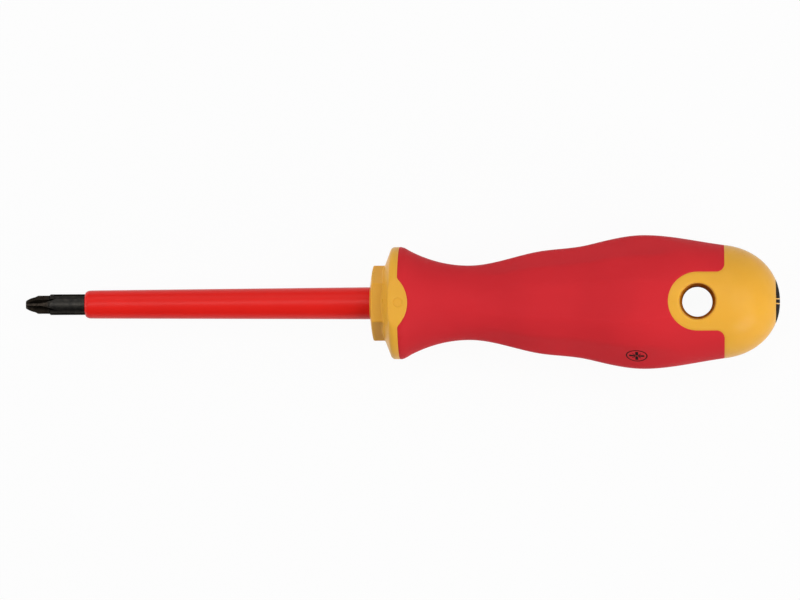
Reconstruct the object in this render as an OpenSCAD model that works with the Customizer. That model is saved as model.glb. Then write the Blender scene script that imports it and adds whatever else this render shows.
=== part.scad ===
// Insulated screwdriver with a size 2 cross tip, in millimetres.
// The point of the tip is the origin. +X runs along the blade to the end of the handle,
// and +Z is the axis of the hanging hole. Places along the handle count from its front face.

/* [Blade] */
// Diameter of the steel blade
blade_d = 6; // [5.6:0.1:6.4]
// Length of the blade in front of the handle
blade_len = 100; // [60:1:150]
// Length of the tail that is moulded into the handle
tail_len = 66; // [50:1:72]
// Length of bare steel in front of the insulation
bare_len = 17.3; // [14:0.1:18]
// Width across the two pressed wings that stop the tail from turning
tail_wing_w = 9.6; // [8:0.1:11]
// Thickness of those wings
tail_wing_t = 2.4; // [1.8:0.1:3]

/* [Cross tip] */
// Diameter of the blunt point
point_d = 2.3; // [2:0.1:2.6]
// Full angle of the cone behind the point
point_angle = 49; // [46:1:54]
// Bulge of that cone's side
nose_bulge = 0.28; // [0:0.02:0.3]
// Diameter over the ground lands
tip_d = 5.3; // [5.1:0.02:5.5]
// Length of the ground lands from the point
land_len = 6.8; // [6:0.1:7.6]
// Thickness of a main wing
wing_t = 1.2; // [1:0.05:1.5]
// Height of the flute floor over the axis at the point
flute_floor = 0.72; // [0.65:0.01:0.8]
// Length of the flutes from the point
flute_len = 9.2; // [8.4:0.1:10]
// Radius of the wheel that grinds the flutes
wheel_r = 39; // [30:1:50]
// Rise of the small rib between two wings, per unit across the flute
rib_slope = 0.4; // [0.3:0.02:0.45]

/* [Insulation] */
// Diameter of the insulation at its front
sleeve_front_d = 8.14; // [7.8:0.02:8.6]
// Diameter of the insulation where it enters the handle
sleeve_back_d = 9.28; // [8.8:0.02:9.8]
// Length of the insulation inside the handle
sleeve_in = 14; // [8:0.5:18]
// Length of the rounded front edge
sleeve_nose = 1.6; // [1:0.1:2]

/* [Collar and guard] */
// Width of the hexagonal collar across its flats
collar_af = 18.9; // [18:0.1:20]
// Set-back of the collar's face at its corners
collar_dome = 1; // [0.4:0.1:1.6]
// Diameter of the finger guard
guard_d = 32.4; // [31:0.1:34]
// Place of the front edge of the guard's rim
rim_front = 7.1; // [6.6:0.1:7.2]
// Place of the back edge of the guard's rim
rim_back = 9.2; // [8.9:0.1:9.8]
// Slope of the guard's front cone from the axis
guard_slope = 69; // [60:1:74]
// Radius of the rounded edge of the guard
guard_edge = 1; // [0.6:0.1:1.4]
// Place where the hard core ends and the soft grip starts
split_front = 8.6; // [8:0.1:8.8]
// Distance of the two flat pads from the axis
pad_dist = 14.8; // [14.4:0.1:15.2]
// Place of the round end of each pad
pad_end = 11.5; // [10.8:0.1:11.7]
// Radius of that round end
pad_r = 9.7; // [9:0.1:10.6]
// Place of the locating pin mark in each pad
pin_mark_x = 8.8; // [8.4:0.1:9.2]
// Diameter of that mark
pin_mark_d = 2.8; // [2:0.1:3.4]

/* [Handle form] */
// Length of the handle
handle_len = 118; // [114:0.5:122]
// Place of the flare behind the guard
flare_x = 12; // [11.6:0.1:12.6]
// Diameter of the flare at that place
flare_d = 29.6; // [29:0.1:30.2]
// Place of the waist
waist_x = 28.6; // [26:0.2:31]
// Diameter of the waist
waist_d = 21.5; // [20:0.1:23]
// Place of the shoulder behind the waist
shoulder_x = 50.4; // [48:0.2:53]
// Diameter of the shoulder
shoulder_d = 29.9; // [29:0.1:31]
// Place of the shallow dip before the bulge
dip_x = 63.3; // [61:0.1:66]
// Diameter of the dip
dip_d = 33.2; // [32.4:0.1:34]
// Place of the bulge
bulge_x = 79; // [77:0.2:82]
// Diameter of the bulge
bulge_d = 38.5; // [37.5:0.1:40]
// Place where the grip ends and the domed end starts
split_rear = 102; // [100.5:0.1:103]
// Diameter of the handle at that place
split_d = 32.6; // [31.6:0.1:33.6]
// Half of the angle that each of the six flats spans at the bulge
flat_angle = 17.6; // [14:0.2:20]
// Length over which the flats fade in behind the waist
flat_run = 10; // [7:0.5:14]

/* [Hanging hole] */
// Diameter of the hanging hole
hole_d = 8.7; // [8:0.1:9.6]
// Place of the hanging hole
hole_x = 94.3; // [93:0.1:95.5]
// Radius of the core's tongue around the hole
tongue_r = 8.4; // [7.8:0.1:8.8]
// Radius of the corner where the tongue runs into the domed end
tongue_corner = 2.3; // [1.4:0.1:2.8]
// Radius of the rounded mouth of the hole
mouth_r = 2; // [1.4:0.1:2.4]

/* [Core under the grip] */
// Thickness of the soft grip at the waist
grip_wall = 2.8; // [2.2:0.1:3.2]
// Share of the handle's swell that the core follows
core_share = 0.75; // [0.6:0.05:0.8]
// Height of the ribs that key the grip to the core
rib_h = 1.2; // [0.8:0.1:1.6]
// Thickness of those ribs
rib_t = 2.4; // [1.8:0.1:3.2]

/* [Hidden] */
$fn = 96;

// Slopes of the handle's outline at the flare, shoulder, dip and rear split
rim_slope = -0.15;
flare_slope = -0.5;
shoulder_slope = 0.125;
dip_slope = 0.24;
split_slope = -0.13;
stations = [
    [rim_back, guard_d / 2, rim_slope],
    [flare_x, flare_d / 2, flare_slope],
    [waist_x, waist_d / 2, 0],
    [shoulder_x, shoulder_d / 2, shoulder_slope],
    [dip_x, dip_d / 2, dip_slope],
    [bulge_x, bulge_d / 2, 0],
    [split_rear, split_d / 2, split_slope]
];

// Steps along the curved outlines
form_steps = 32;
core_steps = 14;
dome_steps = 12;
edge_steps = 5;
nose_steps = 8;
tongue_steps = 32;

// Domed end: a full oval whose centre lies in front of the rear split, so it runs on from the grip
dome_back = 2.6;
dome_power = 2.1;
dome_reach = handle_len - split_rear + dome_back;
dome_start = dome_back / dome_reach;
dome_r = split_d / 2 / (1 - dome_start ^ dome_power) ^ (1 / dome_power);

// Reach of the cutting shapes past the handle's skin
reach = 30;
out_r = bulge_d / 2 + reach;
flat_lift = 0.02;
pad_back = flare_x + 1.5;
pin_mark_depth = 0.2;
rib_front = waist_x - 8;
rib_rear = bulge_x + 2;

// Ground tip: the wheel passes the flute floor at the point and runs out at the flute's end
nose_len = (tip_d - point_d) / 2 / tan(point_angle / 2);
land_step = (blade_d - tip_d) / 2;
wheel_x = (flute_len ^ 2 - 2 * wheel_r * (blade_d / 2 - flute_floor)) / (2 * flute_len);
wheel_z = flute_floor + sqrt(wheel_r ^ 2 - wheel_x ^ 2);
wheel_w = blade_d;
wing_roll = 45;

// Tail of the blade
tail_end = blade_len + tail_len;
tail_edge = 0.5;
tail_wing_end = tail_end - 4;
tail_wing_len = 14;
tail_wing_ramp = 3;

// Front of the guard's cone, where it leaves the collar
guard_r = guard_d / 2;
guard_root_r = collar_af / 2 + 0.15;
cone_rise = guard_r - guard_edge + guard_edge * cos(guard_slope) - guard_root_r;
guard_front = rim_front - guard_edge * sin(guard_slope) - cone_rise / tan(guard_slope);
collar_r = collar_af / 2 / cos(30);

// Mouth of the hole: a round edge that leaves the bore and opens to this angle
mouth_angle = 50;

// Index of the span of the outline that holds place h
function span_at(h, i = 0) =
    i >= len(stations) - 2 || h <= stations[i + 1][0] ? i : span_at(h, i + 1);

// Radius of the handle at place h, a smooth curve through the stations
function form_r(h) =
    let (
        a = stations[span_at(h)],
        b = stations[span_at(h) + 1],
        w = b[0] - a[0],
        t = min(1, max(0, (h - a[0]) / w))
    )
    (1 + 2 * t) * (1 - t) ^ 2 * a[1] + t * (1 - t) ^ 2 * w * a[2]
    + t ^ 2 * (3 - 2 * t) * b[1] + t ^ 2 * (t - 1) * w * b[2];

// Distance of a flat from the axis at place h
function flat_fade(h) = let (t = min(1, max(0, (h - waist_x) / flat_run))) t ^ 2 * (3 - 2 * t);
function flat_r(h) =
    h >= bulge_x ? bulge_d / 2 * cos(flat_angle)
    : form_r(h) * (1 + flat_lift - (1 + flat_lift - cos(flat_angle)) * flat_fade(h));

// Radius of the core under the grip at place h
function core_r(h) = waist_d / 2 - grip_wall + core_share * (form_r(h) - waist_d / 2);

// Radius of the insulation at place x
function sleeve_r(x) =
    (sleeve_front_d + (sleeve_back_d - sleeve_front_d) * (x - bare_len) / (blade_len - bare_len)) / 2;

// Radius of the cone behind the point, at share t of its length
function nose_r(t) = point_d / 2 + (tip_d - point_d) / 2 * t + 4 * nose_bulge * t * (1 - t);

// Even steps from a to b
function steps(a, b, n) = [for (i = [0 : n]) a + (b - a) * i / n];
function reversed(list) = [for (i = [len(list) - 1 : -1 : 0]) list[i]];

// Places of the outline's corners, and of the flats' corners half a step between them
form_h = steps(rim_back, split_rear, form_steps);
half_step = (split_rear - rim_back) / form_steps / 2;
flat_h = concat(
    [waist_x],
    [for (h = form_h) if (h + half_step > waist_x && h + half_step < bulge_x) h + half_step],
    [bulge_x, handle_len + 1]
);

// Solid of revolution about the blade's axis, from points of radius and place
module turned(points) {
    rotate([0, 90, 0]) rotate_extrude() polygon(points);
}

// Slab through the axis whose outline has the given top edge and the same bottom edge
module slab(top, width) {
    rotate([90, 0, 0])
        linear_extrude(height = width, center = true)
            polygon(concat(top, [for (p = reversed(top)) [p[0], -p[1]]]));
}

module in_handle() {
    translate([blade_len, 0, 0]) children();
}

// Flat or drilled shapes that stand along the hole's axis
module upright(height) {
    linear_extrude(height = height, center = true) children();
}

// Rod of the blade, from the point to the tail with its pressed wings
module blade_rod() {
    turned([
        [0, 0],
        for (t = steps(0, 1, nose_steps)) [nose_r(t), nose_len * t],
        [tip_d / 2, land_len],
        [blade_d / 2, land_len + land_step],
        [blade_d / 2, tail_end - tail_edge],
        [blade_d / 2 - tail_edge, tail_end],
        [0, tail_end]
    ]);
    rotate([-90, 0, 0]) slab([
        [tail_wing_end - tail_wing_len, blade_d / 4],
        [tail_wing_end - tail_wing_len + tail_wing_ramp, tail_wing_w / 2],
        [tail_wing_end - tail_wing_ramp, tail_wing_w / 2],
        [tail_wing_end, blade_d / 4]
    ], tail_wing_t);
}

// One wheel pass along each side of each wing leaves the wings and the small ribs between them
module flute_passes() {
    for (wing = [0 : 3])
        rotate([wing_roll + 90 * wing, 0, 0])
            for (side = [0, 1])
                mirror([0, side, 0])
                    translate([wheel_x, wing_t / 2, wheel_z])
                        rotate([-90, 0, 0])
                            cylinder(h = wheel_w, r1 = wheel_r, r2 = wheel_r - rib_slope * wheel_w);
}

module blade() {
    color("#262522")
        difference() {
            blade_rod();
            flute_passes();
        }
}

// Outline of the insulation from its rounded front edge to its end inside the handle
function sleeve_outline() =
    let (end = blade_len + sleeve_in, wall = sleeve_r(bare_len) - blade_d / 2)
    concat(
        [for (a = steps(0, 90, edge_steps))
            [blade_d / 2 + wall * (0.1 + 0.9 * sin(a)), bare_len + sleeve_nose * (1 - cos(a))]],
        [[sleeve_r(end), end]]
    );

module blade_insulation() {
    color("#de302e")
        turned(concat(
            [[blade_d / 2, bare_len]],
            sleeve_outline(),
            [[blade_d / 2, blade_len + sleeve_in]]
        ));
}

// Outer form of the handle from the guard to the domed end, with its flats
module handle_form() {
    rim = [for (a = steps(guard_slope, 0, edge_steps))
        [guard_r - guard_edge + guard_edge * cos(a), rim_front - guard_edge * sin(a)]];
    dome = [for (a = steps(asin(dome_start), 90, dome_steps))
        [dome_r * (1 - sin(a) ^ dome_power) ^ (1 / dome_power), split_rear - dome_back + dome_reach * sin(a)]];
    intersection() {
        turned(concat(
            [[0, guard_front], [guard_root_r, guard_front]],
            rim,
            [for (h = form_h) [form_r(h), h]],
            [for (i = [1 : dome_steps]) dome[i]]
        ));
        flat_pair(pad_dist);
        rotate([60, 0, 0]) flat_pair(out_r);
        rotate([120, 0, 0]) flat_pair(out_r);
    }
}

// Two opposite flats of the grip, with the guard cut at the given distance
module flat_pair(guard_cut) {
    slab(concat(
        [[0, guard_cut], [pad_back, guard_cut], [pad_back, out_r], [waist_x, out_r]],
        [for (h = flat_h) [h, flat_r(h)]]
    ), 2 * out_r);
}

// Outline of the tongue that carries the hole, open to the domed end
module tongue_outline() {
    corner = [for (a = steps(0, 90, edge_steps))
        [split_rear - tongue_corner * (1 - sin(a)), tongue_r + tongue_corner * (1 - cos(a))]];
    side = concat(
        [for (a = steps(180, 90, tongue_steps / 2)) [hole_x + tongue_r * cos(a), tongue_r * sin(a)]],
        corner,
        [[split_rear + 1, tongue_r + tongue_corner]]
    );
    polygon(concat(side, [for (p = reversed(side)) [p[0], -p[1]]]));
}

// Space that belongs to the hard core: it shows at both ends, in the pads and around the hole
module core_space() {
    core_h = steps(split_front - 1, split_rear + 1, core_steps);
    rib_h_steps = steps(rib_front, rib_rear, core_steps / 2);
    turned(concat(
        [[0, core_h[0]]],
        [for (h = core_h) [core_r(h), h]],
        [[0, core_h[core_steps]]]
    ));
    for (a = [30, 90, 150])
        rotate([a, 0, 0]) slab([for (h = rib_h_steps) [h, core_r(h) + rib_h]], rib_t);
    turned([[0, 0], [out_r, 0], [out_r, split_front], [0, split_front]]);
    turned([[0, split_rear], [out_r, split_rear], [out_r, handle_len + 1], [0, handle_len + 1]]);
    upright(2 * out_r) translate([pad_end - pad_r, 0]) circle(pad_r);
    upright(2 * out_r) tongue_outline();
}

// Hexagonal collar with a domed front face
module collar() {
    intersection() {
        rotate([0, 90, 0])
            rotate([0, 0, 30])
                cylinder(h = split_front, r = collar_r, $fn = 6);
        turned([
            [0, 0],
            [sleeve_back_d / 2, 0],
            [collar_r + 1, collar_dome * (collar_r + 1) / collar_r],
            [collar_r + 1, split_front],
            [0, split_front]
        ]);
    }
}

// Bore of the hanging hole with a rounded mouth at both ends
module hanging_hole() {
    bore_r = hole_d / 2;
    bore_end = form_r(hole_x) - mouth_r - 0.4;
    run = 6;
    mouth = concat(
        [for (a = steps(0, mouth_angle, edge_steps))
            [bore_r + mouth_r * (1 - cos(a)), bore_end + mouth_r * sin(a)]],
        [[bore_r + mouth_r * (1 - cos(mouth_angle)) + run * sin(mouth_angle),
          bore_end + mouth_r * sin(mouth_angle) + run * cos(mouth_angle)]]
    );
    top = mouth[edge_steps + 1][1];
    side = concat([[0, top]], reversed(mouth));
    translate([hole_x, 0, 0])
        rotate_extrude()
            polygon(concat(side, [for (p = reversed(side)) [p[0], -p[1]]]));
}

module pin_marks() {
    for (side = [0, 1])
        mirror([0, 0, side])
            translate([pin_mark_x, 0, pad_dist - pin_mark_depth])
                cylinder(h = 1, d = pin_mark_d);
}

module handle_core() {
    color("#e8b146")
        difference() {
            in_handle() union() {
                intersection() {
                    handle_form();
                    core_space();
                }
                collar();
            }
            in_handle() hanging_hole();
            in_handle() pin_marks();
            turned(concat([[0, bare_len]], sleeve_outline(), [[0, blade_len + sleeve_in]]));
            blade_rod();
        }
}

module soft_grip() {
    color("#cd343c")
        in_handle()
            difference() {
                handle_form();
                core_space();
            }
}

blade();
blade_insulation();
handle_core();
soft_grip();
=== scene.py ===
# Insulated screwdriver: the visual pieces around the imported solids, in the row frame.
# Sizes are in millimetres and places along the handle count from its front face, as in the part's source.

import math

import bmesh
import bpy
import numpy as np
from mathutils import Matrix, Vector
from mathutils.geometry import delaunay_2d_cdt
from mathutils.kdtree import KDTree


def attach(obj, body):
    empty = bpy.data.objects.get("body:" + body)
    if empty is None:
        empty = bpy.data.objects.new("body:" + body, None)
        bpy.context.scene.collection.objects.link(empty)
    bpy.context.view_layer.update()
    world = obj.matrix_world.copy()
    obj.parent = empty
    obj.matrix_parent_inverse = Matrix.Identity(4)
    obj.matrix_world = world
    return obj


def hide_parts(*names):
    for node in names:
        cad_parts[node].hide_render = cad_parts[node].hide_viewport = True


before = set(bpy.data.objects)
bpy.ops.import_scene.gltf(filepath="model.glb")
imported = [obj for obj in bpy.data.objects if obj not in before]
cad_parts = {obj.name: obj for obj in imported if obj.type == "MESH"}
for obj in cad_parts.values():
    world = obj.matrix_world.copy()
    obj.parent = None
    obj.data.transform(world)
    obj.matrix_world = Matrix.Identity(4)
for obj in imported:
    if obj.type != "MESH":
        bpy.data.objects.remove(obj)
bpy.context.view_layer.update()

MM = 0.001

# Ground tip: point, cone, wings and the wheel that grinds the flutes between them
POINT_R = 1.15
NOSE_ANGLE = math.radians(49)
NOSE_BULGE = 0.28
TIP_R = 2.65
LAND_LEN = 6.8
WING_T = 1.2
FLUTE_FLOOR = 0.72
FLUTE_LEN = 9.2
WHEEL_R = 39.0
RIB_SLOPE = 0.4

# Narrow crests of the tip's ribs: half width, end, height over the sharp crest, room to the cone, and root
RIB_HALF = 0.34
RIB_END = 4.8
RIB_LIFT = 0.04
RIB_CLEAR = 0.015
RIB_ROOT = 0.6
RIB_POINTS = 5
RIB_RINGS = 18
RIB_ROUNDS = 40

# Blade and insulation
BLADE_R = 3.0
BLADE_LEN = 100.0
TAIL_LEN = 66.0
BARE_LEN = 17.3
SLEEVE_FRONT_R = 4.07
SLEEVE_BACK_R = 4.64
SLEEVE_IN = 14.0
SLEEVE_NOSE = 1.6
SLEEVE_LIP = 0.1
SLEEVE_COUNT = 96

# Collar: the hexagon, its domed face and rounded edges, and place and widening of the sleeve's socket
COLLAR_AF = 18.9
COLLAR_R = COLLAR_AF / 2 / math.cos(math.pi / 6)
COLLAR_DOME = 1.0
COLLAR_FACE_R = COLLAR_R + 1.0
FACE_START = 0.05
COLLAR_CORNER = 0.4
COLLAR_EDGE = 0.45
COLLAR_FILLET = 0.4
SOCKET_MOUTH = ((0.4, 0.0), (0.1, 0.08))

# Guard with its two pads and the round pin mark on each of them
GUARD_R = 16.2
RIM_FRONT = 7.1
RIM_BACK = 9.2
GUARD_SLOPE = math.radians(69)
GUARD_EDGE = 1.0
CONE_RING_R = 13.0
SPLIT_FRONT = 8.6
PAD_DIST = 14.8
PAD_END = 11.5
PAD_R = 9.7
PAD_BACK = 13.5
PAD_BLEND = 0.45
PAD_TURN = 0.55
PAD_LINE_BLEND = 0.7
PAD_INSET = 0.1
PIN_MARK_X = 8.8
PIN_MARK_R = 1.4
PIN_MARK_DEPTH = 0.2
PIN_MARK_SHARES = (0.88, 0.45)
PIN_MARK_COUNT = 32

# Handle form: place, radius and slope of the outline's stations
HANDLE_LEN = 118.0
WAIST_X = 28.6
BULGE_X = 79.0
SPLIT_REAR = 102.0
STATIONS = np.array([
    (RIM_BACK, GUARD_R, -0.15),
    (12.0, 14.8, -0.5),
    (WAIST_X, 10.75, 0.0),
    (50.4, 14.95, 0.125),
    (63.3, 16.6, 0.24),
    (BULGE_X, 19.25, 0.0),
    (SPLIT_REAR, 16.3, -0.13),
])
WAIST_R = STATIONS[2, 1]
BULGE_R = STATIONS[5, 1]

# Six flats of the grip and the domed end, whose last part is a cap of rings
FLAT_COUNT = 6
FLAT_ANGLE = math.radians(17.6)
FLAT_RUN = 10.0
FLAT_LIFT = 0.02
FLAT_BLEND = 0.35
LEAST_FACING = 0.3
DOME_BACK = 2.6
DOME_POWER = 2.1
CAP_START = 104.5
CAP_COUNT = 144
CAP_RINGS = 22

# Hanging hole
HOLE_R = 4.35
HOLE_X = 94.3
TONGUE_R = 8.4
TONGUE_CORNER = 2.3
MOUTH_OUT = 5.9
MOUTH_IN = 5.1
MOUTH_DEPTH = 1.2
MOUTH_STEPS = 10
MOUTH_COUNT = 80
MOUTH_REACH = 0.3
THROAT_Z = 7.0
THROAT_STEPS = 3

# Core under the grip, and the fine seam where the grip meets it
GRIP_WALL = 2.8
CORE_SHARE = 0.75
STEM_STEP = 5.0
STEM_ROWS = 18
SEAM_HALF = 0.14
SEAM_DEPTH = 0.07

# Printed marks: height of the ink, the mark on the domed end and the one on the grip
INK = 0.02
END_MARK_R = 6.3
END_ARM_HALF = 0.5
END_GAP_HALF = 0.86
END_MARK_STEP = 0.45
GRIP_MARK_R = 3.1
GRIP_MARK_LINE = 0.36
GRIP_MARK_X = 76.9
GRIP_MARK_ANGLE = math.radians(-58)
GRIP_MARK_STEP = 0.3

# Map of the skin: its width stands for one turn round the handle, cut a quarter turn from the hole
MAP_R = 16.5
MAP_WIDTH = 2 * math.pi * MAP_R
MAP_CUT = -math.pi / 2
MAP_STEP = 0.75
MAP_DIGITS = 4
MAP_CLEAR = 0.55
LINE_STEP = 0.4

# Fineness: points along the curves and rings along the forms
EDGE_POINTS = 24
FORM_POINTS = 900
DOME_POINTS = 240
FRONT_POINTS = 1200
TONGUE_POINTS = 40
CORNER_POINTS = 14
PAD_POINTS = 36
PAD_LINES = 5
HEX_FLAT_POINTS = 28
HEX_CORNER_POINTS = 7
FACE_RINGS = 7
EDGE_RINGS = 5
FILLET_RINGS = 7
CONE_RINGS = 3
NOSE_RINGS = 14
SLEEVE_RINGS = 27
MARK_RIM_POINTS = 24
MARK_ARM_POINTS = 5
MARK_RING_POINTS = 96
FLOOR_POINTS = 400

# Angle within which points of a plan are looked for, and the halvings that find them
PLAN_TURN = 1.4
PLAN_HALVINGS = 45

# Triangles: over all points or inside the lines, and how near two points are taken as one
WHOLE, INSIDE = 0, 1
NEAR = 1e-6
SHARP_ANGLE = math.radians(38)

# How far light goes into the plastics: shares of red, green and blue
RED_DEPTHS = (1.0, 0.2, 0.15)
YELLOW_DEPTHS = (1.0, 0.55, 0.12)

# Middle range of a noise
NOISE_LOW, NOISE_HIGH = 0.3, 0.7

# Studio lights: name, place, width and height in metres, and power in watts
LIGHT_AIM = Vector((0.12, 0, 0))
LIGHTS = (
    ("top", (-0.02, 0.16, 0.93), (1.2, 0.24), 2.85),
    ("key", (0.70, 0.02, 0.62), (0.6, 0.6), 3.15),
    ("far_side", (-0.02, 0.60, 0.44), (1.2, 0.4), 1.55),
    ("near_side", (0.66, -0.46, 0.26), (0.4, 0.3), 2.3),
    ("tip_side", (-0.75, 0.05, 0.26), (0.7, 0.4), 2.5),
    ("tip_top", (-0.34, 0.02, 0.34), (0.26, 0.26), 0.19),
)


def smooth_min(a, b, blend):
    gap = np.clip(1 - np.abs(a - b) / blend, 0, None)
    return np.minimum(a, b) - gap**2 * blend / 4


def smooth_max(a, b, blend):
    return -smooth_min(-a, -b, blend)


def bend(a, corner, b, t):
    """Point at share t of a curve from a to b that leans towards the corner."""
    return (1 - t) ** 2 * a + 2 * t * (1 - t) * corner + t**2 * b


def form_r(h):
    """Radius of the round outline at place h, a smooth curve through the stations."""
    h = np.clip(h, STATIONS[0, 0], STATIONS[-1, 0])
    i = np.clip(np.searchsorted(STATIONS[:, 0], h, side="right") - 1, 0, len(STATIONS) - 2)
    (x0, r0, k0), (x1, r1, k1) = STATIONS[i].T, STATIONS[i + 1].T
    w = x1 - x0
    t = (h - x0) / w
    ends = (1 + 2 * t) * (1 - t) ** 2 * r0 + t**2 * (3 - 2 * t) * r1
    return ends + t * (1 - t) ** 2 * w * k0 + t**2 * (t - 1) * w * k1


def flat_r(h):
    """Distance of the six flats from the axis at place h."""
    t = np.clip((h - WAIST_X) / FLAT_RUN, 0, 1)
    fade = t**2 * (3 - 2 * t)
    share = 1 + FLAT_LIFT - (1 + FLAT_LIFT - math.cos(FLAT_ANGLE)) * fade
    before = form_r(h) * share + np.clip(WAIST_X - h, 0, None)
    return np.where(h >= BULGE_X, BULGE_R * math.cos(FLAT_ANGLE), before)


def core_r(h):
    """Radius of the hard core under the grip at place h."""
    return WAIST_R - GRIP_WALL + CORE_SHARE * (form_r(h) - WAIST_R)


def sleeve_r(x):
    """Radius of the insulation at place x from the point of the tip."""
    return SLEEVE_FRONT_R + (SLEEVE_BACK_R - SLEEVE_FRONT_R) * (x - BARE_LEN) / (BLADE_LEN - BARE_LEN)


def cone_h(r):
    """Place of the guard's front cone at radius r."""
    top_r = GUARD_R - GUARD_EDGE + GUARD_EDGE * math.cos(GUARD_SLOPE)
    return RIM_FRONT - GUARD_EDGE * math.sin(GUARD_SLOPE) - (top_r - r) / math.tan(GUARD_SLOPE)


def outline():
    """Places, radii and arc lengths along the outline, from the guard's cone to the end of the dome."""
    edge = np.linspace(GUARD_SLOPE, 0, EDGE_POINTS)
    form_h = np.linspace(RIM_BACK, SPLIT_REAR, FORM_POINTS)
    reach = HANDLE_LEN - INK - SPLIT_REAR + DOME_BACK
    start = DOME_BACK / reach
    turn = np.linspace(math.asin(start), math.pi / 2, DOME_POINTS)
    full_r = STATIONS[-1, 1] / (1 - start**DOME_POWER) ** (1 / DOME_POWER)
    dome_r = full_r * np.clip(1 - np.sin(turn) ** DOME_POWER, 0, None) ** (1 / DOME_POWER)
    places = np.concatenate([
        [cone_h(CONE_RING_R)],
        RIM_FRONT - GUARD_EDGE * np.sin(edge),
        form_h,
        SPLIT_REAR - DOME_BACK + reach * np.sin(turn[1:]),
    ])
    radii = np.concatenate([
        [CONE_RING_R],
        GUARD_R - GUARD_EDGE + GUARD_EDGE * np.cos(edge),
        form_r(form_h),
        dome_r[1:],
    ])
    lengths = np.concatenate([[0], np.cumsum(np.hypot(np.diff(places), np.diff(radii)))])
    return places, radii, lengths


OUT_H, OUT_R, OUT_S = outline()


def arc_at(h):
    return np.interp(h, OUT_H, OUT_S)


def skin(s, phi):
    """Place and radius of the handle's skin at arc length s and angle phi from the hole's axis."""
    h = np.interp(s, OUT_S, OUT_H)
    r = np.interp(s, OUT_S, OUT_R)
    for k in range(FLAT_COUNT):
        facing = np.maximum(np.cos(phi - k * math.pi / 3), LEAST_FACING)
        r = smooth_min(r, flat_r(h) / facing, FLAT_BLEND)
    for side in (0, math.pi):
        facing = np.maximum(np.cos(phi - side), LEAST_FACING)
        r = np.where(h < PAD_BACK, smooth_min(r, PAD_DIST / facing, PAD_BLEND), r)
    return h, r


def placed(h, r, phi):
    """Points in the row frame, in millimetres."""
    h, r, phi = np.broadcast_arrays(h, r, phi)
    return np.stack([BLADE_LEN + h, r * np.sin(phi), r * np.cos(phi)], -1)


def from_plan(h, y, side):
    """Arc length and angle of the skin's point over plan point (h, y), on the hole's side 0 or pi."""
    h, y = np.broadcast_arrays(np.asarray(h, float), np.asarray(y, float))
    s = arc_at(h)
    low, high = np.zeros(s.shape), np.full(s.shape, PLAN_TURN)
    for _ in range(PLAN_HALVINGS):
        mid = (low + high) / 2
        short = skin(s, mid)[1] * np.sin(mid) < np.abs(y)
        low, high = np.where(short, mid, low), np.where(short, high, mid)
    turn = np.sign(y) * low
    return s, turn if side == 0 else math.pi - turn


def even(path, step):
    """The same path with points at even steps."""
    path = np.asarray(path, float)
    run = np.concatenate([[0], np.cumsum(np.hypot(*np.diff(path, axis=0).T))])
    at = np.linspace(0, run[-1], max(2, round(run[-1] / step) + 1))
    return np.stack([np.interp(at, run, path[:, 0]), np.interp(at, run, path[:, 1])], -1)


def shifted(path, distance):
    """The path moved sideways by a distance."""
    along = np.gradient(path, axis=0)
    along /= np.linalg.norm(along, axis=1)[:, None]
    return path + distance * np.stack([-along[:, 1], along[:, 0]], -1)


def inside(points, polygon):
    """Which points lie inside the polygon, by the even-odd rule, worked out in batches."""
    batch = 2000
    x0, y0 = polygon.T
    x1, y1 = np.roll(polygon, -1, axis=0).T
    rise = np.where(y1 == y0, 1, y1 - y0)
    result = []
    for part in np.array_split(points, max(1, len(points) // batch)):
        x, y = part[:, :1], part[:, 1:]
        crossed = ((y0 > y) != (y1 > y)) & (x < x0 + (y - y0) * (x1 - x0) / rise)
        result.append(crossed.sum(1) % 2 == 1)
    return np.concatenate(result)


def triangulated(points, lines, extent):
    """Triangles between flat points, as their indices, with the lines kept as edges."""
    flat = [Vector(p) for p in points]
    _, _, faces, origins, _, _ = delaunay_2d_cdt(flat, lines, [], extent, NEAR)
    return np.array([[min(origins[v]) for v in face] for face in faces])


def map_u(phi):
    return (phi - MAP_CUT) * MAP_R


def map_phi(u):
    return MAP_CUT + u / MAP_R


class SkinMap:
    """Points and fixed lines in the flat map of the skin: u runs round it and s along its outline."""

    def __init__(self):
        self.points = []
        self.depths = []
        self.lines = []
        self.known = {}

    def point(self, u, s, depth=0.0):
        key = (round(float(u), MAP_DIGITS), round(float(s), MAP_DIGITS))
        if key not in self.known:
            self.known[key] = len(self.points)
            self.points.append(key)
            self.depths.append(depth)
        return self.known[key]

    def line(self, path, depth=0.0, closed=False):
        ids = [self.point(u, s, depth) for u, s in path]
        self.lines += zip(ids, ids[1:] + ids[:1] if closed else ids[1:])
        return ids

    def cut_sides(self, lengths):
        for u in (0, MAP_WIDTH):
            self.line([(u, s) for s in lengths])

    def fill(self, s_low, s_high, step, blocked=()):
        """Even points between two lengths, clear of the lines and of the blocked circles."""
        tree = KDTree(len(self.points))
        for i, (u, s) in enumerate(self.points):
            tree.insert((u, s, 0), i)
        tree.balance()
        rows = round((s_high - s_low) / step)
        columns = round(MAP_WIDTH / step)
        for i in range(1, rows):
            s = s_low + (s_high - s_low) * i / rows
            for k in range(columns):
                u = MAP_WIDTH * (k + 0.25 + 0.5 * (i % 2)) / columns
                free = all(math.hypot(u - bu, s - bs) > br for bu, bs, br in blocked)
                if free and tree.find((u, s, 0))[2] > MAP_CLEAR * step:
                    self.point(u, s)

    def triangles(self):
        """Triangles over all points, with the two sides of the cut joined, and their middles in the map."""
        ids = triangulated(self.points, self.lines, WHOLE)
        points = np.array(self.points)
        middles = points[ids].mean(1)
        join = np.arange(len(points))
        for (u, s), i in self.known.items():
            if u == round(MAP_WIDTH, MAP_DIGITS):
                join[i] = self.known[(0.0, s)]
        return join[ids], middles


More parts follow.
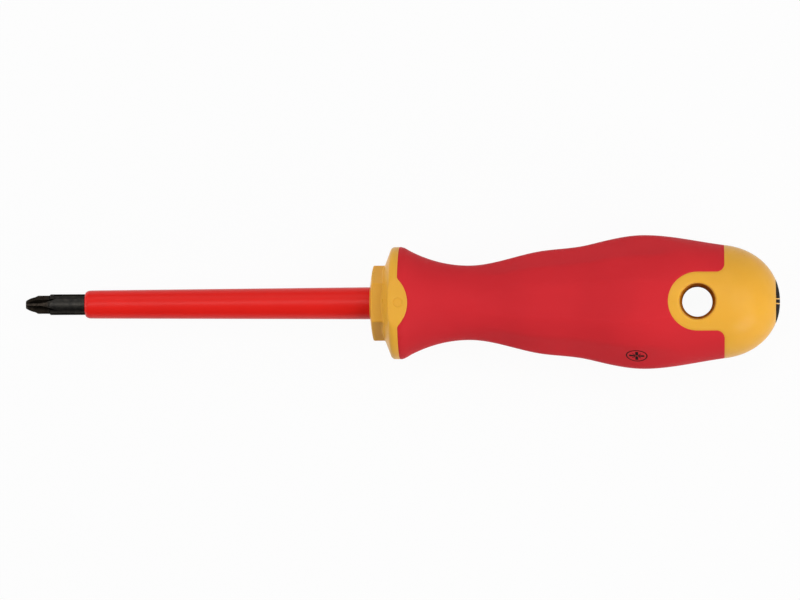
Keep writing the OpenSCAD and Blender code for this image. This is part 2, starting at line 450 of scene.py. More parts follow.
class Solid:
    """Vertices and faces of one piece, in millimetres, with the vertices of its matt bore, which takes the
    material with painted shade.
    """

    def __init__(self):
        self.verts = []
        self.faces = []
        self.bore = set()

    def add(self, points):
        first = len(self.verts)
        self.verts += [tuple(p) for p in np.reshape(points, (-1, 3))]
        return list(range(first, len(self.verts)))

    def strip(self, a, b):
        n = len(a)
        self.faces += [(a[i], a[(i + 1) % n], b[(i + 1) % n], b[i]) for i in range(n)]

    def fan(self, row, tip):
        n = len(row)
        self.faces += [(row[i], row[(i + 1) % n], tip) for i in range(n)]

    def rows(self, rings, first):
        """Joins rings of points one after another to the first row and returns the last row."""
        last = first
        for ring in rings:
            ids = self.add(ring)
            self.strip(last, ids)
            last = ids
        return last

    def loop(self, rings):
        """Joins rings of points one after another and the last to the first."""
        rows = [self.add(ring) for ring in rings]
        for a, b in zip(rows, rows[1:] + rows[:1]):
            self.strip(a, b)


def make_piece(name, solid, material, bore=None):
    """A smooth-shaded mesh object on the root body, from a closed solid."""
    mesh = bpy.data.meshes.new(name)
    mesh.from_pydata([Vector(v) * MM for v in solid.verts], [], solid.faces)
    mesh.materials.append(material)
    if bore:
        mesh.materials.append(bore)
        for polygon in mesh.polygons:
            polygon.material_index = int(solid.bore.issuperset(polygon.vertices))
    work = bmesh.new()
    work.from_mesh(mesh)
    bmesh.ops.delete(work, geom=[v for v in work.verts if not v.link_faces], context="VERTS")
    bmesh.ops.recalc_face_normals(work, faces=work.faces)
    for face in work.faces:
        face.smooth = True
    work.to_mesh(mesh)
    work.free()
    mesh.set_sharp_from_angle(angle=SHARP_ANGLE)
    piece = bpy.data.objects.new(name, mesh)
    bpy.context.scene.collection.objects.link(piece)
    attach(piece, "root")
    return piece


# Nodes of a material
def link(tree, source, target):
    tree.links.new(source, target)


def place_along(tree, kind, axis):
    """One axis of the place, in coordinates of that kind."""
    place = tree.nodes.new("ShaderNodeTexCoord")
    parts = tree.nodes.new("ShaderNodeSeparateXYZ")
    link(tree, place.outputs[kind], parts.inputs["Vector"])
    return parts.outputs[axis]


def noise(tree, scale, detail, stretch=(1, 1, 1)):
    """Noise in the piece's own place, with its scale in repeats per metre."""
    place = tree.nodes.new("ShaderNodeTexCoord")
    mapping = tree.nodes.new("ShaderNodeMapping")
    mapping.inputs["Scale"].default_value = stretch
    texture = tree.nodes.new("ShaderNodeTexNoise")
    texture.inputs["Scale"].default_value = scale
    texture.inputs["Detail"].default_value = detail
    link(tree, place.outputs["Object"], mapping.inputs["Vector"])
    link(tree, mapping.outputs["Vector"], texture.inputs["Vector"])
    return texture.outputs["Fac"]


def spread(tree, value, low, high, start=NOISE_LOW, end=NOISE_HIGH):
    """The value's range from start to end mapped to low and high."""
    node = tree.nodes.new("ShaderNodeMapRange")
    node.inputs["From Min"].default_value = start
    node.inputs["From Max"].default_value = end
    node.inputs["To Min"].default_value = low
    node.inputs["To Max"].default_value = high
    link(tree, value, node.inputs["Value"])
    return node.outputs["Result"]


def tinted(tree, value, dark, light):
    """A colour between dark and light, each of them a plain colour or the output of a node."""
    node = tree.nodes.new("ShaderNodeMix")
    node.data_type = "RGBA"
    sockets = [i for i in node.inputs if i.type == "RGBA"]
    for socket, colour in zip(sockets, (dark, light)):
        if isinstance(colour, tuple):
            socket.default_value = (*colour, 1)
        else:
            link(tree, colour, socket)
    link(tree, value, node.inputs["Factor"])
    return next(o for o in node.outputs if o.type == "RGBA")


def bumped(tree, height, distance, strength, below=None):
    """The normal bent by a height, on top of the bumps below it."""
    node = tree.nodes.new("ShaderNodeBump")
    node.inputs["Distance"].default_value = distance * MM
    node.inputs["Strength"].default_value = strength
    link(tree, height, node.inputs["Height"])
    if below is not None:
        link(tree, below, node.inputs["Normal"])
    return node.outputs["Normal"]


def scaled(colour, factor):
    return tuple(min(1.0, c * factor) for c in colour)


def new_material(name):
    material = bpy.data.materials.new(name)
    material.use_nodes = True
    return material, material.node_tree, material.node_tree.nodes["Principled BSDF"]


def surface(name, dark, light, cloud, roughness, uneven, specular):
    """A material whose colour and roughness vary between two values, each by its own noise."""
    material, tree, shader = new_material(name)
    drift = spread(tree, noise(tree, *cloud), 0, 1)
    link(tree, tinted(tree, drift, dark, light), shader.inputs["Base Color"])
    link(tree, spread(tree, noise(tree, *uneven), *roughness), shader.inputs["Roughness"])
    shader.inputs["Specular IOR Level"].default_value = specular
    return material, tree, shader


def let_light_in(shader, weight, shares, depth):
    """Light that goes a little way into the plastic and comes out again."""
    shader.inputs["Subsurface Weight"].default_value = weight
    shader.inputs["Subsurface Radius"].default_value = shares
    shader.inputs["Subsurface Scale"].default_value = depth * MM


def grip_material():
    """Matt red elastomer with a fine eroded mould texture."""
    red = (0.60, 0.025, 0.033)
    material, tree, shader = surface(
        "grip_elastomer", scaled(red, 0.95), scaled(red, 1.04),
        cloud=(45, 2), roughness=(0.46, 0.56), uneven=(900, 3), specular=0.025,
    )
    soft = bumped(tree, noise(tree, 600, 2), 0.02, 0.5)
    link(tree, bumped(tree, noise(tree, 5200, 2), 0.012, 0.8, soft), shader.inputs["Normal"])
    let_light_in(shader, 0.08, RED_DEPTHS, 0.6)
    return material


def sleeve_material():
    """Smooth red insulation with faint draw lines along the blade."""
    red = (0.72, 0.012, 0.008)
    material, tree, shader = surface(
        "insulation_plastic", scaled(red, 0.96), scaled(red, 1.03),
        cloud=(60, 2), roughness=(0.28, 0.35), uneven=(1400, 3), specular=0.2,
    )
    drawn = bumped(tree, noise(tree, 1200, 2, (0.02, 1, 1)), 0.001, 0.6)
    link(tree, bumped(tree, noise(tree, 2400, 2), 0.0005, 0.6, drawn), shader.inputs["Normal"])
    let_light_in(shader, 0.06, RED_DEPTHS, 0.6)
    return material


def core_material():
    """Hard yellow plastic with a satin gloss."""
    yellow = (0.78, 0.395, 0.044)
    material, tree, shader = surface(
        "core_plastic", scaled(yellow, 0.96), scaled(yellow, 1.03),
        cloud=(70, 3), roughness=(0.27, 0.34), uneven=(1100, 3), specular=0.1,
    )
    wave = bumped(tree, noise(tree, 260, 2), 0.02, 0.35)
    link(tree, bumped(tree, noise(tree, 3600, 2), 0.006, 0.6, wave), shader.inputs["Normal"])
    let_light_in(shader, 0.15, YELLOW_DEPTHS, 0.9)
    return material


def shaded_bore_material():
    """Core plastic in the hole, matt as the pin of the mould leaves it; its deeper colour is painted shade
    of the hole's wall.
    """
    # This ochre is darker than the core's yellow: painted shade in the hole.
    bore_shade_ochre = (0.54, 0.185, 0.010)
    material, tree, shader = surface(
        "core_bore_painted_shade", scaled(bore_shade_ochre, 0.9), scaled(bore_shade_ochre, 1.08),
        cloud=(300, 3), roughness=(0.75, 0.9), uneven=(1500, 3), specular=0.02,
    )
    link(tree, bumped(tree, noise(tree, 3600, 3), 0.015, 0.8), shader.inputs["Normal"])
    return material


def ink_material():
    """Black pad print, a little uneven."""
    material, tree, shader = surface(
        "print_ink", (0.006, 0.0055, 0.005), (0.013, 0.010, 0.009),
        cloud=(1800, 3), roughness=(0.55, 0.68), uneven=(2400, 2), specular=0.03,
    )
    link(tree, bumped(tree, noise(tree, 5200, 2), 0.006, 0.6), shader.inputs["Normal"])
    return material


def steel_material():
    """Blackened steel with fine grinding marks, browner and darker where the tip is ground."""
    material, tree, shader = new_material("black_steel")
    cloud = spread(tree, noise(tree, 900, 4), 0, 1)
    ground_end, rod_start = (LAND_LEN - 0.6) * MM, (LAND_LEN + 0.4) * MM
    behind = spread(tree, place_along(tree, "Object", "X"), 0, 1, ground_end, rod_start)
    tip = tinted(tree, cloud, (0.020, 0.016, 0.013), (0.040, 0.032, 0.025))
    rod = tinted(tree, cloud, (0.026, 0.025, 0.024), (0.050, 0.046, 0.040))
    link(tree, tinted(tree, behind, tip, rod), shader.inputs["Base Color"])
    link(tree, spread(tree, behind, 0.8, 1.0, 0, 1), shader.inputs["Metallic"])
    link(tree, spread(tree, noise(tree, 2600, 3), 0.30, 0.46), shader.inputs["Roughness"])
    ground = bumped(tree, noise(tree, 4200, 2, (0.06, 1, 1)), 0.0012, 0.6)
    link(tree, bumped(tree, noise(tree, 1500, 2), 0.001, 0.5, ground), shader.inputs["Normal"])
    shader.inputs["Specular IOR Level"].default_value = 0.0
    shader.inputs["Specular Tint"].default_value = (0, 0, 0, 1)
    return material


# Lines of the skin: where the grip meets the core in front and behind, the hole's mouths and the pads
def front_line():
    phi = np.linspace(MAP_CUT, MAP_CUT + 2 * math.pi, FRONT_POINTS)
    place = np.full(phi.shape, SPLIT_FRONT)
    for side in (0, math.pi):
        turn = phi - side
        near = np.abs(turn) < PAD_TURN
        y = PAD_DIST * np.tan(np.where(near, turn, 0))
        pad = PAD_END - PAD_R + np.sqrt(np.clip(PAD_R**2 - y**2, 0, None))
        place = np.where(near, smooth_max(place, pad, PAD_LINE_BLEND), place)
    return even(np.stack([map_u(phi), arc_at(place)], -1), LINE_STEP)


def tongue_plan():
    """Half of the tongue's outline in plan, from its front to where it runs into the domed end."""
    round_part = np.linspace(math.pi, math.pi / 2, TONGUE_POINTS)
    corner = np.linspace(0, math.pi / 2, CORNER_POINTS)
    h = np.concatenate([
        HOLE_X + TONGUE_R * np.cos(round_part),
        SPLIT_REAR - TONGUE_CORNER * (1 - np.sin(corner)),
    ])
    y = np.concatenate([
        TONGUE_R * np.sin(round_part),
        TONGUE_R + TONGUE_CORNER * (1 - np.cos(corner)),
    ])
    return h, y


def rear_line():
    h, y = tongue_plan()
    h_all = np.concatenate([h[::-1], h[1:]])
    y_all = np.concatenate([-y[::-1], y[1:]])
    path = [(0, arc_at(SPLIT_REAR))]
    for side in (0, math.pi):
        s, phi = from_plan(h_all, y_all, side)
        tongue = np.stack([map_u(phi), s], -1)
        path += list(tongue if side == 0 else tongue[::-1])
    path.append((MAP_WIDTH, arc_at(SPLIT_REAR)))
    return even(path, LINE_STEP)


def rear_area(rear):
    """Outline in the map of all that lies behind the rear line."""
    top = OUT_S[-1]
    return np.concatenate([rear, [(MAP_WIDTH, top), (0, top)]])


def plan_circle(h, radius, side, count):
    turn = np.arange(count) * 2 * math.pi / count
    s, phi = from_plan(h + radius * np.cos(turn), radius * np.sin(turn), side)
    return np.stack([map_u(phi), s], -1)


def pad_edges(skin_map):
    """Lines along the rounded edge between the guard's cone and each pad."""
    rising = slice(0, int(np.argmax(OUT_R >= GUARD_R - NEAR)) + 1)
    reach = math.acos(PAD_DIST / (GUARD_R - PAD_INSET))
    turn = np.linspace(-reach, reach, PAD_POINTS)
    for side in (0, math.pi):
        for lift in np.linspace(-PAD_BLEND, PAD_BLEND, PAD_LINES):
            r = PAD_DIST / np.cos(turn) + lift
            keep = r < GUARD_R - PAD_INSET / 2
            s = np.interp(r[keep], OUT_R[rising], OUT_S[rising])
            skin_map.line(np.stack([map_u(turn[keep] + side), s], -1))


def ring_angles():
    """Angles of the collar's rings, closer together at the corners of the hexagon."""
    flat_half, corner, corner_half = 27, 30, 2.25
    sector = np.concatenate([
        np.linspace(-flat_half, flat_half, HEX_FLAT_POINTS),
        np.linspace(corner - corner_half, corner + corner_half, HEX_CORNER_POINTS),
    ])
    turns = np.concatenate([sector + 2 * corner * k for k in range(6)])
    return np.sort(np.mod(np.radians(turns) - MAP_CUT, 2 * math.pi)) + MAP_CUT


def collar_r(phi):
    """Radius of the hexagonal collar with rounded corners."""
    half = COLLAR_AF / 2
    turn = np.abs(np.mod(phi + math.pi / 6, math.pi / 3) - math.pi / 6)
    tangent = math.atan((half - COLLAR_CORNER) * math.tan(math.pi / 6) / half)
    centre = (half - COLLAR_CORNER) / math.cos(math.pi / 6)
    off = math.pi / 6 - turn
    reach = np.sqrt(np.clip(COLLAR_CORNER**2 - (centre * np.sin(off)) ** 2, 0, None))
    return np.where(turn < tangent, half / np.cos(turn), centre * np.cos(off) + reach)


def collar_rings(phi):
    """Rings from the blade's bore over the sleeve's socket and the collar to the guard's cone."""
    hexagon = collar_r(phi)
    slope = COLLAR_DOME / COLLAR_R * COLLAR_FACE_R / (COLLAR_FACE_R - SLEEVE_BACK_R)
    rings = [(TAIL_LEN, BLADE_R), (SLEEVE_IN, BLADE_R), (SLEEVE_IN, sleeve_r(BLADE_LEN + SLEEVE_IN))]
    rings += [(h, SLEEVE_BACK_R + wider) for h, wider in SOCKET_MOUTH]

    def face_h(r):
        return slope * (r - SLEEVE_BACK_R)

    for t in np.linspace(FACE_START, 1, FACE_RINGS):
        r = SLEEVE_BACK_R + (hexagon - COLLAR_EDGE - SLEEVE_BACK_R) * t
        rings.append((face_h(r), r))
    for a in np.linspace(0, math.pi / 2, EDGE_RINGS + 1)[1:]:
        r = hexagon - COLLAR_EDGE * (1 - math.sin(a))
        rings.append((face_h(hexagon - COLLAR_EDGE) + COLLAR_EDGE * (1 - math.cos(a)), r))
    root = cone_h(hexagon)
    for t in np.linspace(0, 1, FILLET_RINGS):
        h = bend(root - COLLAR_FILLET, root, cone_h(hexagon + COLLAR_FILLET), t)
        rings.append((h, bend(hexagon, hexagon, hexagon + COLLAR_FILLET, t)))
    for t in np.linspace(0, 1, CONE_RINGS + 2)[1:-1]:
        r = hexagon + COLLAR_FILLET + (CONE_RING_R - hexagon - COLLAR_FILLET) * t
        rings.append((cone_h(r), r))
    return [placed(h, r, phi) for h, r in rings]


def build_skin():
    """The map of the whole skin, with its lines, and where each of them runs."""
    skin_map = SkinMap()
    s_end = float(arc_at(CAP_START))
    angles = ring_angles()
    ring_u = np.concatenate([[0], map_u(angles[1:]), [MAP_WIDTH]])
    front, rear = front_line(), rear_line()
    known = {"cone_ring": skin_map.line([(u, 0) for u in ring_u])[:-1]}
    cap_u = np.linspace(0, MAP_WIDTH, CAP_COUNT + 1)
    known["cap_ring"] = skin_map.line([(u, s_end) for u in cap_u])[:-1]
    for name, path in (("front", front), ("rear", rear)):
        known[name] = skin_map.line(path, SEAM_DEPTH)[:-1]
        for way in (-SEAM_HALF, SEAM_HALF):
            skin_map.line(shifted(path, way))
    blocked = []
    pin_s = float(arc_at(PIN_MARK_X))
    for name, side in (("top", 0), ("bottom", math.pi)):
        known[name] = skin_map.line(plan_circle(HOLE_X, MOUTH_OUT, side, MOUTH_COUNT), closed=True)
        skin_map.line(plan_circle(PIN_MARK_X, PIN_MARK_R, side, PIN_MARK_COUNT), closed=True)
        for share in PIN_MARK_SHARES:
            circle = plan_circle(PIN_MARK_X, PIN_MARK_R * share, side, PIN_MARK_COUNT)
            skin_map.line(circle, PIN_MARK_DEPTH, closed=True)
        blocked.append((map_u(side), pin_s, PIN_MARK_R))
        skin_map.point(map_u(side), pin_s, PIN_MARK_DEPTH)
    pad_edges(skin_map)
    fixed = [s for path in (front, rear) for s in path[0, 1] + np.array([-SEAM_HALF, 0, SEAM_HALF])]
    grid = np.arange(MAP_STEP, s_end, MAP_STEP)
    grid = [s for s in grid if min(abs(s - f) for f in fixed) > MAP_STEP / 2]
    skin_map.cut_sides(sorted([0, s_end, *fixed, *grid]))
    skin_map.fill(0, s_end, MAP_STEP, blocked)
    return skin_map, known, front, rear


def build_stem(front, rear):
    """The map of the core's stem under the grip, coarse because it's hidden."""
    stem = SkinMap()
    known = {"front": stem.line(front)[:-1], "rear": stem.line(rear)[:-1]}
    stem.cut_sides(np.linspace(front[0, 1], rear[0, 1], STEM_ROWS))
    stem.fill(front[0, 1], rear[0, 1], STEM_STEP)
    triangles, middles = stem.triangles()
    behind = middles[:, 1] > np.interp(middles[:, 0], front[:, 0], front[:, 1])
    keep = behind & ~inside(middles, rear_area(rear))
    return stem, known, triangles[keep]


def mouth_rings(ids, points, side):
    """Rings of the hole's rounded mouth and its drafted wall, from the skin to the bore."""
    count = len(ids)
    turn = np.arange(count) * 2 * math.pi / count
    start = np.array([points[i] for i in ids])
    far_r = MOUTH_OUT + MOUTH_REACH
    s, phi = from_plan(HOLE_X + far_r * np.cos(turn), far_r * np.sin(turn), side)
    beyond = placed(*skin(s, phi), phi)
    rise = (start[:, 2] - beyond[:, 2]) / MOUTH_REACH
    corner_z = start[:, 2] + rise * (MOUTH_OUT - MOUTH_IN)
    wall_z = corner_z - math.copysign(MOUTH_DEPTH, math.cos(side))
    throat_z = math.copysign(THROAT_Z, math.cos(side))
    profile = []
    for t in np.linspace(0, 1, MOUTH_STEPS + 1)[1:]:
        profile.append((bend(MOUTH_OUT, MOUTH_IN, MOUTH_IN, t), bend(start[:, 2], corner_z, wall_z, t)))
    for t in np.linspace(0, 1, THROAT_STEPS + 1)[1:]:
        profile.append((MOUTH_IN + (HOLE_R - MOUTH_IN) * t, wall_z + (throat_z - wall_z) * t))
    rings = []
    for radius, z in profile:
        x = BLADE_LEN + HOLE_X + radius * np.cos(turn)
        rings.append(np.stack([x, radius * np.sin(turn), z], -1))
    return rings


def build_handle():
    """The hard core and the soft grip, both cut from one map of the handle's skin."""
    skin_map, known, front, rear = build_skin()
    triangles, middles = skin_map.triangles()
    u, s = np.array(skin_map.points).T
    phi = map_phi(u)
    h, r = skin(s, phi)
    points = placed(h, r - np.array(skin_map.depths), phi)
    mid_h, mid_r = skin(middles[:, 1], map_phi(middles[:, 0]))
    mid = placed(mid_h, mid_r, map_phi(middles[:, 0]))
    hair = 0.01
    in_mouth = np.hypot(mid[:, 0] - BLADE_LEN - HOLE_X, mid[:, 1]) < MOUTH_OUT - hair
    fore = middles[:, 1] < np.interp(middles[:, 0], front[:, 0], front[:, 1])
    aft = inside(middles, rear_area(rear))
    hard = triangles[(fore | aft) & ~in_mouth]
    soft = triangles[~fore & ~aft]

    stem, stem_known, stem_faces = build_stem(front, rear)
    stem_u, stem_s = np.array(stem.points).T
    stem_h = np.interp(stem_s, OUT_S, OUT_H)
    stem_points = placed(stem_h, core_r(stem_h), map_phi(stem_u))

    solids = {}
    for name, faces in (("core", hard), ("grip", soft)):
        solid = Solid()
        solid.add(points)
        first = solid.add(stem_points)[0]
        solid.faces += [tuple(f) for f in faces]
        solid.faces += [tuple(f + first) for f in stem_faces]
        for line in ("front", "rear"):
            solid.strip(known[line], [i + first for i in stem_known[line]])
        solids[name] = solid

    core = solids["core"]
    rings = collar_rings(map_phi(u[known["cone_ring"]]))
    bore_end = core.add(rings[0])
    core.fan(bore_end, core.add([(BLADE_LEN + TAIL_LEN, 0, 0)])[0])
    core.strip(core.rows(rings[1:], bore_end), known["cone_ring"])
    cap_phi = phi[known["cap_ring"]]
    cap_s = np.linspace(float(arc_at(CAP_START)), OUT_S[-1], CAP_RINGS + 2)[1:-1]
    cap = [placed(*skin(np.full(cap_phi.shape, t), cap_phi), cap_phi) for t in cap_s]
    core.fan(core.rows(cap, known["cap_ring"]), core.add([(BLADE_LEN + OUT_H[-1], 0, 0)])[0])
    ends = []
    for name, side in (("top", 0), ("bottom", math.pi)):
        rings = mouth_rings(known[name], points, side)
        lip = core.rows(rings[:MOUTH_STEPS], known[name])
        first = len(core.verts)
        ends.append(core.rows(rings[MOUTH_STEPS:], lip))
        core.bore.update(lip, range(first, len(core.verts)))
    core.strip(*ends)
    return core, solids["grip"]


def build_sleeve():
    """The tapered insulation with its rounded front edge, closed on the blade."""
    wall = SLEEVE_FRONT_R - BLADE_R
    end = BLADE_LEN + SLEEVE_IN
    profile = [(BARE_LEN, BLADE_R)]
    for a in np.linspace(0, math.pi / 2, NOSE_RINGS):
        share = SLEEVE_LIP + (1 - SLEEVE_LIP) * math.sin(a)
        profile.append((BARE_LEN + SLEEVE_NOSE * (1 - math.cos(a)), BLADE_R + wall * share))
    for x in np.linspace(BARE_LEN + SLEEVE_NOSE, end, SLEEVE_RINGS + 1)[1:]:
        profile.append((x, sleeve_r(x)))
    profile.append((end, BLADE_R))
    phi = np.linspace(0, 2 * math.pi, SLEEVE_COUNT + 1)[:-1]
    solid = Solid()
    solid.loop([placed(x - BLADE_LEN, r, phi) for x, r in profile])
    return solid


def rib_crest(x):
    """Radius at which two wheel passes meet in the sharp crest of a rib, at place x from the point."""
    wheel_x = (FLUTE_LEN**2 - 2 * WHEEL_R * (BLADE_R - FLUTE_FLOOR)) / (2 * FLUTE_LEN)
    wheel_z = FLUTE_FLOOR + math.sqrt(WHEEL_R**2 - wheel_x**2)
    across = FLUTE_FLOOR
    for _ in range(RIB_ROUNDS):
        wheel = WHEEL_R - RIB_SLOPE * (across - WING_T / 2)
        across = wheel_z - math.sqrt(wheel**2 - (x - wheel_x) ** 2)
    return across * math.sqrt(2)


def nose_r(x):
    """Radius of the bulging cone behind the point, and of the lands after it."""
    nose_len = (TIP_R - POINT_R) / math.tan(NOSE_ANGLE / 2)
    t = min(1.0, x / nose_len)
    return POINT_R + (TIP_R - POINT_R) * t + 4 * NOSE_BULGE * t * (1 - t)


def tip_ribs():
    """Narrow crests of the four ribs between the wings, which run from the point into the lands."""
    side = np.linspace(-RIB_HALF, RIB_HALF, RIB_POINTS)
    lean = math.atan2(RIB_HALF, RIB_ROOT)
    root_r = math.hypot(RIB_ROOT, RIB_HALF)
    solid = Solid()
    for k in range(4):
        rings = []
        for x in np.linspace(RIB_CLEAR, RIB_END, RIB_RINGS):
            crest = min(rib_crest(x) + RIB_LIFT, nose_r(x) - RIB_CLEAR)
            r = np.concatenate([np.full(RIB_POINTS, crest), [root_r, root_r]])
            phi = np.concatenate([np.arcsin(side / crest), [lean, -lean]])
            rings.append(placed(x - BLADE_LEN, r, phi + k * math.pi / 2))
        first = solid.add(rings[0])
        last = solid.rows(rings[1:], first)
        solid.faces += [tuple(first), tuple(last)]
    return solid


def cut_fine(corners, step):
    """The closed outline with points at most a step apart, its corners kept."""
    edge = []
    for a, b in zip(corners, np.roll(corners, -1, axis=0)):
        count = max(1, math.ceil(np.linalg.norm(b - a) / step))
        edge += [a + (b - a) * i / count for i in range(count)]
    return np.array(edge)


def flat_patch(solid, outlines, step, onto):
    """Thin closed patches of ink over flat outlines, laid on a surface by onto(points, height)."""
    for corners in outlines:
        edge = cut_fine(corners, step)
        low, high = edge.min(0), edge.max(0)
        xs, ys = np.meshgrid(np.arange(low[0], high[0], step), np.arange(low[1], high[1], step))
        grid = np.stack([xs.ravel(), ys.ravel()], -1)
        grid = grid[inside(grid, edge)]
        gap = np.linalg.norm(grid[:, None] - edge[None], axis=2).min(1) if len(grid) else np.zeros(0)
        points = np.concatenate([edge, grid[gap > 0.5 * step]])
        ring = [(i, (i + 1) % len(edge)) for i in range(len(edge))]
        faces = triangulated(points, ring, INSIDE)
        top = solid.add(onto(points, INK))
        base = solid.add(onto(points, -INK))
        solid.faces += [tuple(f + top[0]) for f in faces]
        solid.faces += [tuple(f[::-1] + base[0]) for f in faces]
        solid.strip(top[: len(edge)], base[: len(edge)])


def arc_points(radius, start, end, count):
    turn = np.linspace(start, end, count)
    return np.stack([radius * np.cos(turn), radius * np.sin(turn)], -1)


def flat_ring(solid, outer, inner, count, onto):
    """A thin closed ring of ink, laid on a surface by onto(points, height)."""
    wide, narrow = (arc_points(r, 0, 2 * math.pi, count + 1)[:-1] for r in (outer, inner))
    solid.loop([onto(wide, INK), onto(narrow, INK), onto(narrow, -INK), onto(wide, -INK)])


def rolled(points, turn):
    c, s = math.cos(turn), math.sin(turn)
    return points @ np.array([(c, s), (-s, c)])


def end_mark():
    """Black disc with the outline of a cross left open in it."""
    lean = math.asin(END_GAP_HALF / END_MARK_R)
    rim = arc_points(END_MARK_R, lean, math.pi / 2 - lean, MARK_RIM_POINTS)
    corner = np.concatenate([[(END_GAP_HALF, END_GAP_HALF)], rim])
    lean = math.asin(END_ARM_HALF / END_MARK_R)
    arm_end = arc_points(END_MARK_R, -lean, lean, MARK_ARM_POINTS)
    arm = np.concatenate([arm_end, [(END_ARM_HALF, END_ARM_HALF)]])
    quarters = [k * math.pi / 2 for k in range(4)]
    outlines = [rolled(corner, turn) for turn in quarters]
    outlines.append(np.concatenate([rolled(arm, turn) for turn in quarters]))

    dome = OUT_H > SPLIT_REAR
    dome_r, dome_h = OUT_R[dome][::-1], OUT_H[dome][::-1]

    def onto(points, height):
        r = np.hypot(points[:, 0], points[:, 1])
        return placed(np.interp(r, dome_r, dome_h) + height, r, np.arctan2(points[:, 0], points[:, 1]))

    solid = Solid()
    flat_patch(solid, outlines, END_MARK_STEP, onto)
    return solid


def grip_mark():
    """Ring with a cross tip in it, printed on a flat of the grip."""
    point, root, end, half = 0.12, 0.62, 2.2, 0.42
    arm = np.array([(point, 0), (root, -half), (end, -half), (end, half), (root, half)])
    start, end, half = 0.75, 1.75, 0.1
    rib = np.array([(start, -half), (end, -half), (end, half), (start, half)])
    outlines = []
    for k in range(4):
        outlines.append(rolled(arm, k * math.pi / 2))
        outlines.append(rolled(rib, k * math.pi / 2 + math.pi / 4))
    centre_r = float(skin(arc_at(GRIP_MARK_X), GRIP_MARK_ANGLE)[1])

    def onto(points, height):
        phi = GRIP_MARK_ANGLE + points[:, 1] / centre_r
        h, r = skin(arc_at(GRIP_MARK_X + points[:, 0]), phi)
        return placed(h, r + height, phi)

    solid = Solid()
    flat_ring(solid, GRIP_MARK_R, GRIP_MARK_R - GRIP_MARK_LINE, MARK_RING_POINTS, onto)
    flat_patch(solid, outlines, GRIP_MARK_STEP, onto)
    return solid


# Pieces of the part
core_solid, grip_solid = build_handle()
ink = ink_material()
# The wall of the hanging hole gets the second material, the core plastic with painted shade.
core_piece = make_piece("hard_core", core_solid, core_material(), shaded_bore_material())
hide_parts("handle_core")
grip_piece = make_piece("elastomer_grip", grip_solid, grip_material())
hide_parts("soft_grip")
sleeve_piece = make_piece("insulation_sleeve", build_sleeve(), sleeve_material())
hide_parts("blade_insulation")
make_piece("end_mark", end_mark(), ink)
make_piece("grip_mark", grip_mark(), ink)
steel = steel_material()
make_piece("tip_ribs", tip_ribs(), steel)
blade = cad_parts["blade"]
blade.data.materials.clear()
blade.data.materials.append(steel)


def camera_mix(tree, scale):
    """How far a white glow stands in for the lit surface: for what the camera, gloss and glass see."""
    rays = tree.nodes.new("ShaderNodeLightPath")
    total = rays.outputs["Is Camera Ray"]
    for name in ("Is Glossy Ray", "Is Transmission Ray"):
        node = tree.nodes.new("ShaderNodeMath")
        node.operation = "MAXIMUM"
        link(tree, total, node.inputs[0])
        link(tree, rays.outputs[name], node.inputs[1])
        total = node.outputs[0]
    node = tree.nodes.new("ShaderNodeMath")
    node.operation = "MULTIPLY"
    node.inputs[1].default_value = scale
    link(tree, total, node.inputs[0])
    return node.outputs[0]


def floor_material():
    """Pale grey under the lamps, and nearly white for the camera and in reflections."""
    material, tree, shader = new_material("pale_floor")
    tree.nodes.remove(shader)
    lit = tree.nodes.new("ShaderNodeBsdfDiffuse")
    lit.inputs["Color"].default_value = (0.6, 0.6, 0.6, 1)
    glow = tree.nodes.new("ShaderNodeEmission")
    glow.inputs["Color"].default_value = (1, 1, 1, 1)
    mix = tree.nodes.new("ShaderNodeMixShader")
    link(tree, camera_mix(tree, 0.95), mix.inputs["Fac"])
    link(tree, lit.outputs[0], mix.inputs[1])
    link(tree, glow.outputs[0], mix.inputs[2])
    link(tree, mix.outputs[0], tree.nodes["Material Output"].inputs["Surface"])
    return material


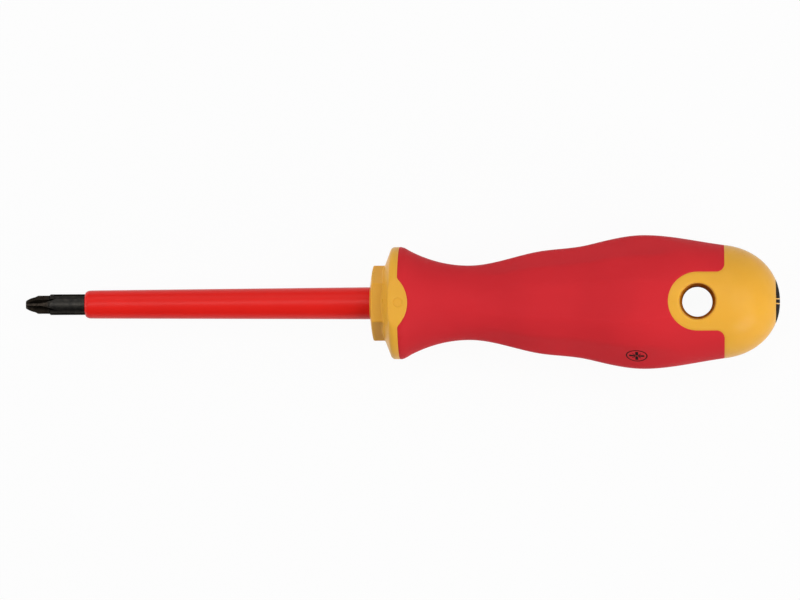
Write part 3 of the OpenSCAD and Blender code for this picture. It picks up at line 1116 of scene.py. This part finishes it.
def make_floor():
    """Plain pale floor with a low wall far out. It slopes, because the tool rests on its bulge and guard."""
    half, rise, lean = 4.0, 0.45, 1.05
    gap = 0.02
    h = np.linspace(PAD_END, SPLIT_REAR, FLOOR_POINTS)
    low = -skin(arc_at(h), math.pi)[1]
    pad_front = float(cone_h(PAD_DIST))
    slope = float(np.min((low + PAD_DIST) / (h - pad_front)))
    mesh = bpy.data.meshes.new("floor")
    flat = [(x, y, x * slope) for x, y in ((-half, -half), (half, -half), (half, half), (-half, half))]
    wall = [(x * lean, y * lean, z + rise) for x, y, z in flat]
    sides = [(i, i + 4, (i + 1) % 4 + 4, (i + 1) % 4) for i in range(4)]
    mesh.from_pydata(flat + wall, [], [(0, 1, 2, 3)] + sides)
    mesh.materials.append(floor_material())
    floor = bpy.data.objects.new("floor", mesh)
    floor.location = ((BLADE_LEN + pad_front) * MM, 0, (-PAD_DIST - gap) * MM)
    bpy.context.scene.collection.objects.link(floor)


def make_world():
    """Soft light from all round, brighter overhead than at the horizon."""
    horizon, overhead = 0.05, 0.25
    world = bpy.data.worlds.new("studio")
    world.use_nodes = True
    tree = world.node_tree
    sky = tree.nodes["Background"]
    sky.inputs["Color"].default_value = (1, 1, 1, 1)
    height = place_along(tree, "Generated", "Z")
    link(tree, spread(tree, height, horizon, overhead, 0, 1), sky.inputs["Strength"])
    bpy.context.scene.world = world


def soft_box(name, place, size, power):
    """A rectangular studio light that faces the middle of the tool."""
    light = bpy.data.lights.new(name, "AREA")
    light.shape = "RECTANGLE"
    light.size, light.size_y = size
    light.energy = power
    lamp = bpy.data.objects.new(name, light)
    lamp.location = place
    aim = LIGHT_AIM - Vector(place)
    lamp.rotation_euler = aim.to_track_quat("-Z", "Y").to_euler()
    bpy.context.scene.collection.objects.link(lamp)


def make_camera():
    """Long lens over the rear of the handle, turned to the middle of the tool."""
    lens_at = Vector((0.192, -0.017, 1.37))
    aim_at = Vector((0.1086, 0.0009, 0))
    roll = math.radians(0.222)
    field = 0.2310
    camera = bpy.data.cameras.new("camera")
    camera.sensor_width = 36
    camera.lens = camera.sensor_width * (lens_at - aim_at).length / field
    camera.clip_start, camera.clip_end = 0.05, 50
    holder = bpy.data.objects.new("camera", camera)
    back = (lens_at - aim_at).normalized()
    up = Vector((math.sin(roll), math.cos(roll), 0))
    right = up.cross(back).normalized()
    up = back.cross(right)
    turn = Matrix((right, up, back)).transposed()
    holder.matrix_world = Matrix.Translation(lens_at) @ turn.to_4x4()
    bpy.context.scene.collection.objects.link(holder)
    bpy.context.scene.camera = holder


make_floor()
make_world()
for light in LIGHTS:
    soft_box(*light)
make_camera()
bpy.context.scene.view_settings.view_transform = "Standard"
